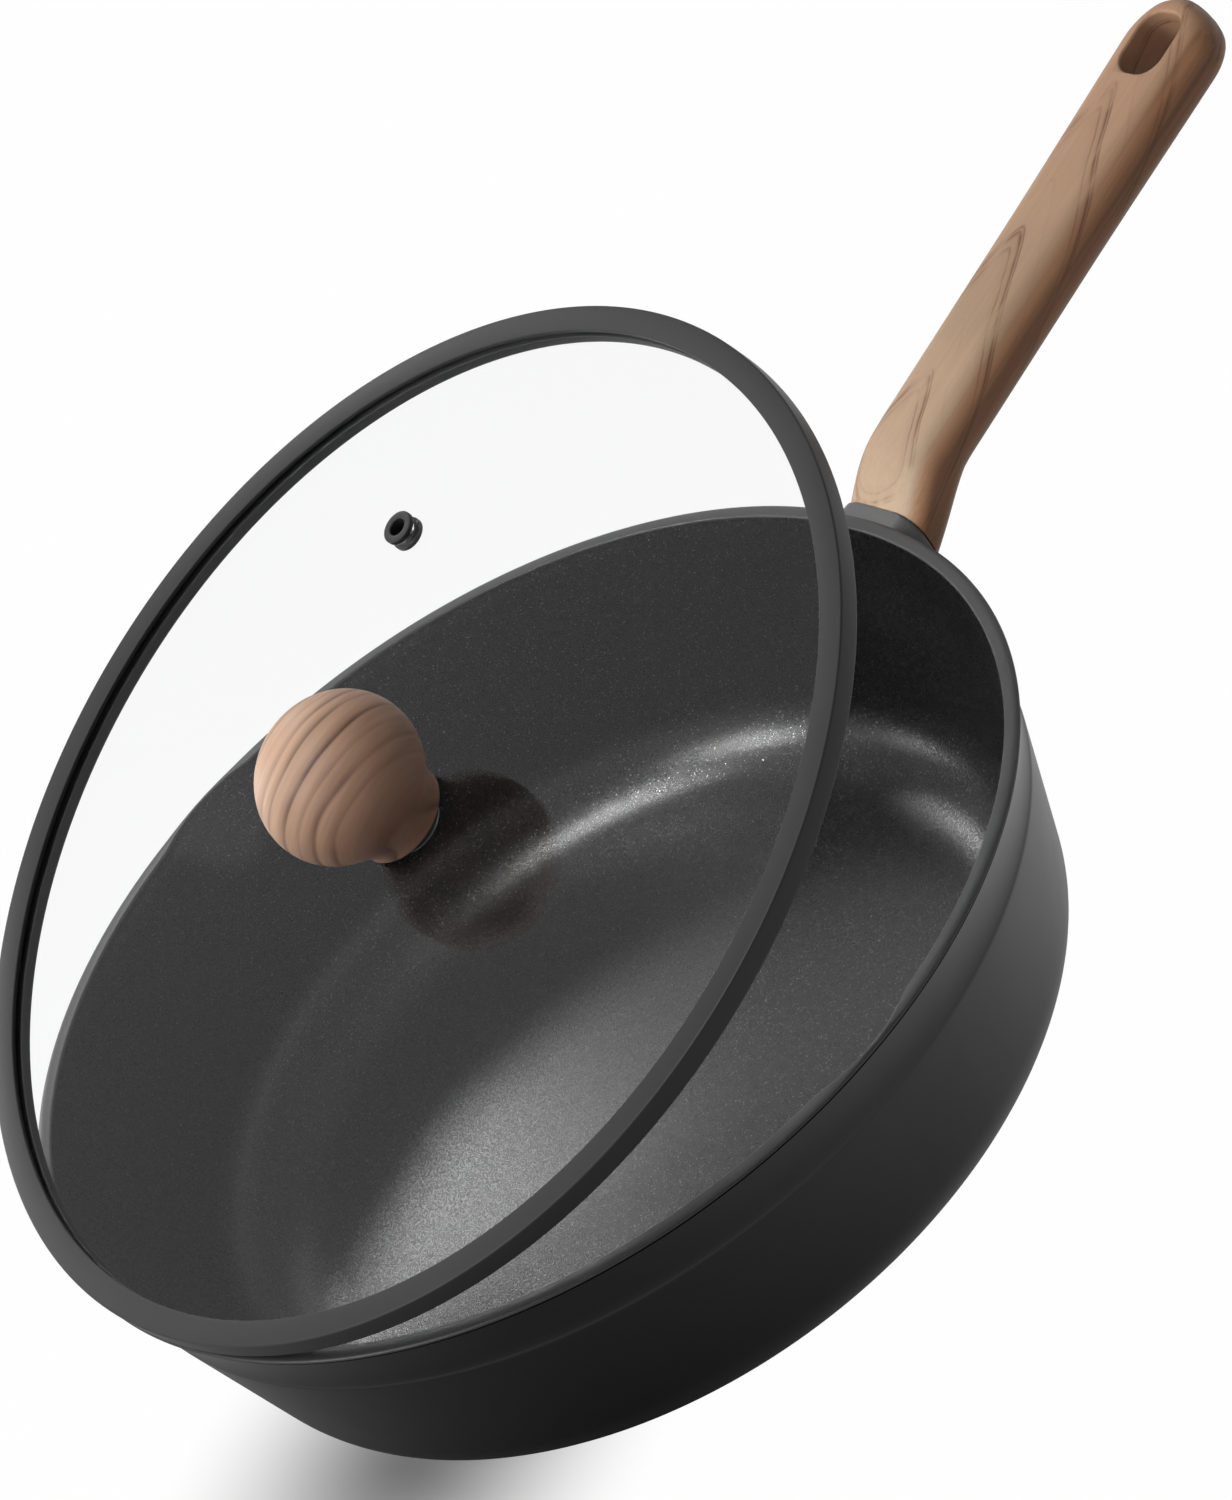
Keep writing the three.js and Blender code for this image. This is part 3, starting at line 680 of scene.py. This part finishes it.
def station(distance):
    along = min(max(distance, 0.0), gripLength)
    k = 0
    while k < len(pathLengths) - 2 and pathLengths[k + 1] < along:
        k += 1
    share = (along - pathLengths[k]) / max(pathLengths[k + 1] - pathLengths[k], 1e-9)
    x = pathSpots[k][0] + (pathSpots[k + 1][0] - pathSpots[k][0]) * share
    z = pathSpots[k][1] + (pathSpots[k + 1][1] - pathSpots[k][1]) * share
    turn = grip["rise"] * smoothStep(x, rootX, rootX + grip["bendReach"])
    return Matrix.Translation((x + distance - along, 0.0, z)) @ Matrix.Rotation(-turn, 4, "Y")


def roundEnd(radius, left):
    return radius - math.sqrt(radius ** 2 - (radius - left) ** 2) if left < radius else 0.0


def gripSize(distance):
    g = grip
    left = max(gripLength - distance, g["shortest"])
    width = g["width"] + g["rootSwell"] * (1 - smoothStep(distance, 0.0, g["rootFade"]))
    width += g["tipSwell"] * smoothStep(distance, gripLength / 2, gripLength)
    height = g["thick"] + g["rootSwell"] * (1 - smoothStep(distance, 0.0, g["rootFade"]))
    height += g["bendSwell"] * math.sin(math.pi * min(distance / g["bendFade"], 1.0))
    return (width - 2 * roundEnd((g["width"] + g["tipSwell"]) / 2, left), height - 2 * roundEnd(g["tipEdge"], left))


def sectionPoints(width, height, corner, around):
    # rounded rectangle in the cross plane, as (across, up), the same number of points at every size
    corner = min(corner, width * 0.499, height * 0.499)
    points = []
    for k, (sx, sz) in enumerate(((1, 1), (-1, 1), (-1, -1), (1, -1))):
        for i in range(around):
            a = math.pi / 2 * (k + i / (around - 1))
            points.append((sx * (width / 2 - corner) + corner * math.cos(a),
                           sz * (height / 2 - corner) + corner * math.sin(a)))
    return points


def loft(name, rings, finish):
    size = len(rings[0])
    verts = [v for ringPoints in rings for v in ringPoints]
    faces = []
    for j in range(len(rings) - 1):
        for i in range(size):
            k = (i + 1) % size
            faces.append((j * size + i, j * size + k, (j + 1) * size + k, (j + 1) * size + i))
    faces.append(tuple(range(size))[::-1])
    faces.append(tuple((len(rings) - 1) * size + i for i in range(size)))
    mesh = bpy.data.meshes.new(name)
    mesh.from_pydata(verts, [], faces)
    mesh.materials.append(finish)
    tidyMesh(mesh, grip["sharp"])
    return makeObject(name, mesh)


def cutWith(piece, cutter):
    modifier = piece.modifiers.new("cut", "BOOLEAN")
    modifier.operation = "DIFFERENCE"
    modifier.solver = "EXACT"
    modifier.object = cutter
    graph = bpy.context.evaluated_depsgraph_get()
    mesh = bpy.data.meshes.new_from_object(piece.evaluated_get(graph))
    piece.modifiers.remove(modifier)
    old = piece.data
    mesh.name = old.name
    piece.data = mesh
    bpy.data.meshes.remove(old)
    bpy.data.objects.remove(cutter)
    smoothed(mesh, grip["sharp"])


# cast boss between the wall and the grip, its back buried in the wall
boss = {
    "margin": 0.0003, "flare": 0.0010, "flareReach": 0.0030, "sink": 0.0012, "gap": 0.0003, "edge": 0.0005,
    "edgePart": 0.12, "rimGap": 0.0006, "steps": 14, "around": 16,
}


def handleBoss():
    b = boss
    slope = math.tan(pan["lean"])
    rows = []
    for k in range(b["steps"] + 1):
        back = 1 - k / b["steps"]
        face = math.sqrt(max(0.0, 1 - (1 - min(back / b["edgePart"], 1.0)) ** 2))
        width = grip["width"] + grip["rootSwell"] + 2 * b["margin"] - 2 * b["edge"] * (1 - face)
        height = grip["thick"] + grip["rootSwell"] + 2 * b["margin"] - 2 * b["edge"] * (1 - face)
        row = []
        for y, z in sectionPoints(width, height, grip["corner"] + b["margin"], b["around"]):
            level = rootZ + z
            wall = pan["coneTop"] - (pan["height"] - level) * slope
            start = math.sqrt(wall * wall - y * y) - b["sink"]
            end = rootX - b["gap"]
            x = end + (start - end) * back
            near = max(0.0, 1 - (x - start - b["sink"]) / b["flareReach"])
            grow = 1 + b["flare"] * near ** 3 / math.hypot(y, z)
            row.append((x, y * grow, min(level + z * (grow - 1), pan["height"] - b["rimGap"])))
        rows.append(row)
    piece = loft("handleBoss", rows, finishes["collar"])
    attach(piece, "pan")


handleBoss()


# wooden grip
def handleGrip():
    g = grip
    rings = []
    for k in range(g["stations"] + 1):
        distance = gripLength * (1 - math.cos(math.pi * k / g["stations"])) / 2
        width, height = gripSize(distance)
        place = station(distance)
        crown = g["crown"] * min(1.0, width / g["width"])
        ring = []
        for y, z in sectionPoints(width, height, g["corner"], g["around"]):
            z -= math.copysign(crown * (2 * y / max(width, 1e-6)) ** 2, z) * (abs(z) / max(height / 2, 1e-6))
            ring.append(place @ Vector((0.0, y, z)))
        rings.append(ring)
    piece = loft("handleGrip", rings, finishes["handle"])
    # hanging slot with rounded mouths
    middle = station(gripLength - g["slotMargin"] - g["slotLength"] / 2)
    half = g["thick"] / 2
    slotRings = []
    m = g["mouth"]
    heights = [-half - g["slotClear"]] + [-half + m * (1 - math.cos(math.pi / 2 * k / 8)) for k in range(9)]
    heights += [-z for z in reversed(heights)]
    for z in heights:
        near = max(m - max(half - abs(z), 0.0), 0.0)
        grow = m - math.sqrt(max(m * m - near * near, 0.0))
        if abs(z) > half:
            grow = m
        ring = sectionPoints(g["slotLength"] + 2 * grow, g["slotWidth"] + 2 * grow, g["slotCorner"] + grow, 14)
        slotRings.append([middle @ Vector((x, y, z)) for x, y in ring])
    cutWith(piece, loft("slotCutter", slotRings, finishes["handle"]))
    # screw well in the underside
    well = station(g["screwAt"])
    narrow, wide = g["wellRadius"], g["wellRadius"] + g["wellFlare"]
    around = [math.pi / 24 * k for k in range(48)]
    wellRings = []
    for z, r in ((g["wellLow"], wide), (-half - g["wellLip"], wide), (-half + g["wellFlare"], narrow),
                 (g["wellTop"], narrow)):
        wellRings.append([well @ Vector((r * math.cos(a), r * math.sin(a), z)) for a in around])
    cutWith(piece, loft("wellCutter", wellRings, finishes["handle"]))
    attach(piece, "pan")
    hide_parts("handle")
    return piece


gripPiece = handleGrip()
print("stage: handle grip,", len(gripPiece.data.polygons), "faces")


# base disc with shallow turned grooves
baseDisc = {
    "radius": 0.090, "thick": 0.0012, "topEdge": 0.0002, "lowEdge": 0.0003, "grooves": 7, "groove": 0.00035,
    "grooveWidth": 0.0012,
}


def inductionDisc():
    d = baseDisc
    outline = [(0.0, d["thick"]), (d["radius"] - d["topEdge"], d["thick"]), (d["radius"], d["thick"] - d["topEdge"]),
               (d["radius"], d["lowEdge"]), (d["radius"] - d["lowEdge"], 0.0)]
    for k in range(d["grooves"]):
        r = d["radius"] * (1 - (k + 0.7) / (d["grooves"] + 0.6))
        w = d["grooveWidth"] / 2
        outline += [(r + w, 0.0), (r + w * 0.5, d["groove"]), (r - w * 0.5, d["groove"]), (r - w, 0.0)]
    outline.append((0.0, 0.0))
    piece = turned("baseDisc", outline, 192, finishes["disc"], closed=False, sharpAngle=30.0)
    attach(piece, "pan")
    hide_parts("induction_disc")


inductionDisc()
print("stage: base disc")


# lid: built closed with its seat at height zero, then tipped about the rim opposite the handle
lid = {
    "open": math.radians(17.2), "gap": 0.0003, "radius": 0.142, "height": 0.0061, "flange": 0.0013, "width": 0.0071,
    "wall": 0.0022, "lip": 0.0020, "lipOuter": 0.13689, "round": 0.0006, "lipRound": 0.0005, "topRound": 0.0004,
    "mouthRound": 0.0003, "cornerRound": 0.0002, "channelRound": 0.0001, "facets": 256, "sharp": 40.0,
}
lidPlace = (Matrix.Translation((-lid["radius"], 0.0, pan["height"] + lid["gap"]))
            @ Matrix.Rotation(-lid["open"], 4, "Y") @ Matrix.Translation((lid["radius"], 0.0, 0.0)))
glassLow = lid["flange"] + lid["gap"]
glassHigh = lid["height"] - lid["flange"] - lid["gap"]


def lidSeal():
    s = lid
    inner = s["radius"] - s["width"]
    channel = s["radius"] - s["wall"]
    e = s["round"]
    upper = s["height"] - s["flange"]
    outline = filleted([
        (inner, s["height"], s["topRound"]), (s["radius"], s["height"], e), (s["radius"], 0.0, e),
        (s["lipOuter"], 0.0, s["cornerRound"]), (s["lipOuter"], -s["lip"], s["lipRound"]),
        (inner, -s["lip"], s["lipRound"]), (inner, s["flange"], s["cornerRound"]),
        (channel, s["flange"], s["channelRound"]),
        (channel, upper, s["channelRound"]), (inner, upper, s["mouthRound"]),
    ])
    piece = turned("lidSeal", outline, s["facets"], finishes["seal"], place=lidPlace, sharpAngle=s["sharp"])
    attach(piece, "lid")
    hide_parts("lid_rim_seal")


lidSeal()

vent = {
    "x": 0.070, "y": 0.056, "bore": 0.0024, "neck": 0.0032, "flange": 0.0046, "height": 0.0014, "round": 0.0004,
    "edge": 0.0002, "facets": 64,
}


def ventGrommet():
    v = vent
    low, high = glassLow - lid["gap"], glassHigh + lid["gap"]
    outline = filleted([
        (v["bore"], high + v["height"], v["round"]), (v["flange"], high + v["height"], v["round"]),
        (v["flange"], high, v["edge"]), (v["neck"], high, 0.0), (v["neck"], low, 0.0), (v["flange"], low, v["edge"]),
        (v["flange"], low - v["height"], v["round"]), (v["bore"], low - v["height"], v["round"]),
    ])
    place = lidPlace @ Matrix.Translation((v["x"], v["y"], 0.0))
    piece = turned("ventGrommet", outline, v["facets"], finishes["seal"], place=place)
    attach(piece, "lid")
    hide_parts("vent_grommet")


ventGrommet()

knob = {
    "radius": 0.0224, "half": 0.0198, "centre": 0.0223, "neck": 0.0132, "waist": 0.0129, "round": 0.0006,
    "lead": 0.002, "start": math.radians(36.0), "gasket": 0.0008, "neckSteps": 24, "ballSteps": 48, "facets": 128,
}
knobBase = glassHigh + lid["gap"] + knob["gasket"] + lid["gap"]


def lidKnob():
    k = knob
    joint = (k["radius"] * math.cos(k["start"]), k["centre"] - k["half"] * math.sin(k["start"]))
    neckLow = (k["neck"], k["round"])
    rise = Vector((k["radius"] * math.sin(k["start"]), k["half"] * math.cos(k["start"]))).normalized()
    a, b = (k["waist"], joint[1] / 3), (joint[0] - k["lead"] * rise.x, joint[1] - k["lead"] * rise.y)
    edge = k["neck"] - k["round"]
    outline = [(0.0, 0.0), (edge, 0.0)]
    for angle in (math.pi / 8 * i for i in range(1, 4)):
        outline.append((edge + k["round"] * math.sin(angle), k["round"] - k["round"] * math.cos(angle)))
    outline += longCurve(neckLow, a, b, joint, k["neckSteps"])
    for i in range(k["ballSteps"] + 1):
        angle = -k["start"] + (math.pi / 2 + k["start"]) * i / k["ballSteps"]
        outline.append((max(k["radius"] * math.cos(angle), 0.0), k["centre"] + k["half"] * math.sin(angle)))
    outline[-1] = (0.0, outline[-1][1])
    place = lidPlace @ Matrix.Translation((0, 0, knobBase))
    piece = turned("lidKnob", outline[::-1], k["facets"], finishes["knob"], closed=False, place=place)
    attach(piece, "lid")
    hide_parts("lid_knob")


lidKnob()

stack = {
    "hole": 0.0029, "gasketRadius": 0.009, "gasketRound": 0.0003, "cupRadius": 0.008, "cupThick": 0.001,
    "cupDish": 0.0008, "cupBend": 0.0006, "cupEdge": 0.0003, "cupLip": 0.0002, "cupBore": 0.0001, "shank": 0.0023,
    "facets": 72,
}


def gasket(name, node, outer, low):
    soft, inner, high = stack["gasketRound"], stack["hole"], low + knob["gasket"]
    outline = filleted([(inner, high, soft), (outer, high, soft), (outer, low, soft), (inner, low, soft)], 3)
    piece = turned(name, outline, stack["facets"], finishes["seal"], place=lidPlace)
    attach(piece, "lid")
    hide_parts(node)


gasketLow = glassLow - lid["gap"] - knob["gasket"]
gasket("knobGasket", "knob_gasket", knob["neck"] - 2 * knob["round"], glassHigh + lid["gap"])
gasket("glassGasket", "glass_gasket", stack["gasketRadius"], gasketLow)


def cupWasher():
    s = stack
    top = gasketLow - lid["gap"]
    flat = s["cupRadius"] - 2 * s["cupThick"]
    dish = top - s["cupDish"]
    outline = filleted([
        (s["shank"], dish, s["cupBore"]), (flat, dish, s["cupBend"]), (s["cupRadius"], top, s["cupLip"]),
        (s["cupRadius"], top - s["cupThick"], s["cupEdge"]), (flat, dish - s["cupThick"], s["cupBend"]),
        (s["shank"], dish - s["cupThick"], s["cupBore"]),
    ])
    piece = turned("cupWasher", outline, s["facets"], finishes["steel"], place=lidPlace)
    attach(piece, "lid")
    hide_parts("knob_washer")


cupWasher()
print("stage: lid pieces")

# solids that stay as they are get their finish here
for nodeName, finishName in (("lid_glass", "glass"), ("knob_screw", "steel"), ("handle_screw", "steel"),
                             ("handle_washer", "steel"), ("knob_insert", "brass")):
    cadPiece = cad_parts[nodeName]
    cadPiece.data.materials.clear()
    cadPiece.data.materials.append(finishes[finishName])
print("stage: plain solids dressed")


# floor, sky and lamps
studio = {
    # painted shadow spot beside the base: there the floor's white share falls to the shade level
    "white": 0.99, "paintedShadowShare": 0.10, "paintedShadowAt": (-0.118, -0.015, 0.0), "paintedShadowReach": 0.081,
    # painted dark reflection: near this spot the floor seen in reflections drops to its dim plain colour
    "paintedDarkReflectionAt": (-0.112, -0.052, 0.0), "paintedDarkReflectionNear": 0.02, "paintedDarkReflectionFar": 0.30,
    # the dim plain floor colour, which shows in the painted shadow spot and the painted dark reflections, and colours
    # bounced light
    "floorTint": (0.16, 0.16, 0.16), "floorHalf": 6.0, "floorLevel": -0.0004,
    "skyLow": 0.90, "skyHigh": 0.22, "skyBand": (0.22, 0.60), "skyFront": 0.15, "litFrom": (-0.92, 0.4, 0.0),
    "litBand": (-0.5, 0.3), "aim": (0.0, 0.0, 0.05),
    # each panel: direction, cosine at its edge, cosine where it is full, strength
    "panels": [((-0.30, 0.74, 0.60), 0.94, 0.985, 0.26), ((0.42, 0.70, 0.577), 0.972, 0.994, 1.35)],
    "key": {"at": (-1.12, 0.37, 1.14), "size": 0.50, "power": 11.5},
    "top": {"at": (-0.40, 0.22, 1.70), "size": 0.50, "power": 13.0},
    "sheen": {"at": (0.131, 0.596, 0.447), "size": 0.10, "power": 0.46},
    "edge": {"at": (-0.14, 0.330, 0.15), "size": 0.12, "power": 0.24},
}


def studioFloor():
    mesh = bpy.data.meshes.new("studioFloor")
    half, low = studio["floorHalf"], studio["floorLevel"]
    corners = [(-half, -half, low), (half, -half, low), (half, half, low), (-half, half, low)]
    mesh.from_pydata(corners, [], [(0, 1, 2, 3)])
    floor = makeObject("studioFloor", mesh)
    mat = bpy.data.materials.new("paleFloor")
    mat.use_nodes = True
    tree = mat.node_tree
    tree.nodes.clear()
    out = put(tree, "ShaderNodeOutputMaterial")
    plain = put(tree, "ShaderNodeBsdfDiffuse", {"Color": (*studio["floorTint"], 1.0)})
    glow = put(tree, "ShaderNodeEmission", {"Color": (1.0, 1.0, 1.0, 1.0), "Strength": 1.0})
    path = put(tree, "ShaderNodeLightPath")
    # white to the eye and through the glass, except in a painted shadow spot beside the base; in reflections white
    # only away from a painted dark patch beside the base
    spot = objectSpot(tree)
    # painted shadow: near this spot the floor seen by the eye falls from white to its dim plain colour
    away = vectorSum(tree, "DISTANCE", spot, studio["paintedShadowAt"], "Value")
    white = span(tree, away, studio["paintedShadowShare"], studio["white"], 0.0, studio["paintedShadowReach"], soft=True)
    # painted dark reflection: near this spot the floor seen in reflections falls to its dim plain colour, darkening
    # the pan's lower wall
    middle = vectorSum(tree, "DISTANCE", spot, studio["paintedDarkReflectionAt"], "Value")
    mirrored = span(tree, middle, 0.0, studio["white"], studio["paintedDarkReflectionNear"], studio["paintedDarkReflectionFar"], soft=True)
    seen = sums(tree, "MAXIMUM", path.outputs["Is Camera Ray"], path.outputs["Is Transmission Ray"])
    share = sums(tree, "MAXIMUM", sums(tree, "MULTIPLY", seen, white),
                 sums(tree, "MULTIPLY", path.outputs["Is Glossy Ray"], mirrored))
    both = put(tree, "ShaderNodeMixShader", {0: share, 1: plain.outputs[0], 2: glow.outputs[0]})
    # from below the floor is clear, so that the base can be seen
    below = put(tree, "ShaderNodeNewGeometry").outputs["Backfacing"]
    clear = put(tree, "ShaderNodeBsdfTransparent")
    shown = put(tree, "ShaderNodeMixShader", {0: below, 1: both.outputs[0], 2: clear.outputs[0]})
    tree.links.new(shown.outputs[0], out.inputs["Surface"])
    mesh.materials.append(mat)


def studioSky():
    # white round the horizon and dimmer overhead; the right and front give less light
    world = bpy.data.worlds.new("studioSky")
    world.use_nodes = True
    tree = world.node_tree
    tree.nodes.clear()
    out = put(tree, "ShaderNodeOutputWorld")
    way = put(tree, "ShaderNodeTexCoord").outputs["Generated"]
    rise = put(tree, "ShaderNodeSeparateXYZ", {0: way}).outputs[2]
    level = span(tree, rise, studio["skyLow"], studio["skyHigh"], *studio["skyBand"], soft=True)
    lit = vectorSum(tree, "DOT_PRODUCT", way, studio["litFrom"], "Value")
    back = span(tree, lit, studio["skyFront"], 1.0, *studio["litBand"], soft=True)
    path = put(tree, "ShaderNodeLightPath")
    shown = sums(tree, "MAXIMUM", path.outputs["Is Glossy Ray"], path.outputs["Is Transmission Ray"])
    light = sums(tree, "MULTIPLY", level, sums(tree, "MAXIMUM", back, shown))
    # soft panels: one for the veil on the glass, one for the cooking face
    for toward, edge, full, power in studio["panels"]:
        facing = vectorSum(tree, "DOT_PRODUCT", way, toward, "Value")
        light = sums(tree, "ADD", light, span(tree, facing, 0.0, power, edge, full, soft=True))
    # sockets 0, 2 and 3 of the node are the factor and the two numbers
    strength = put(tree, "ShaderNodeMix", {
        0: path.outputs["Is Camera Ray"], 2: light, 3: 1.0}, data_type="FLOAT").outputs[0]
    glow = put(tree, "ShaderNodeBackground", {"Color": (1.0, 1.0, 1.0, 1.0), "Strength": strength})
    tree.links.new(glow.outputs[0], out.inputs["Surface"])
    scene.world = world


def lamp(name, at, size, power):
    data = bpy.data.lights.new(name, "AREA")
    data.shape = "DISK"
    data.size = size
    data.energy = power
    lampObject = makeObject(name, data)
    lampObject.location = at
    lampObject.visible_camera = False
    aim = Vector(studio["aim"]) - Vector(at)
    lampObject.rotation_euler = aim.to_track_quat("-Z", "Y").to_euler()


studioFloor()
studioSky()
for lampName in ("key", "top", "sheen", "edge"):
    lamp(lampName + "Lamp", **studio[lampName])
print("stage: studio")


# camera at the photograph's place
shot = {
    "at": (-0.5621, -1.5435, 1.2007), "right": (0.6246, -0.6043, -0.4947), "up": (0.7188, 0.1972, 0.6666),
    "ahead": (0.3053, 0.7719, -0.5576), "lens": 190.0, "sensor": 36.0, "clip": (0.05, 50.0),
}
camera = makeObject("shotCamera", bpy.data.cameras.new("shotCamera"))
camera.data.lens = shot["lens"]
camera.data.sensor_width = shot["sensor"]
camera.data.clip_start, camera.data.clip_end = shot["clip"]
side, upward, ahead = (Vector(shot[name]) for name in ("right", "up", "ahead"))
turnTo = Matrix((side, upward, -ahead)).transposed().to_4x4()
camera.matrix_world = Matrix.Translation(shot["at"]) @ turnTo
scene.camera = camera
scene.view_settings.view_transform = "Standard"
print("stage: camera")
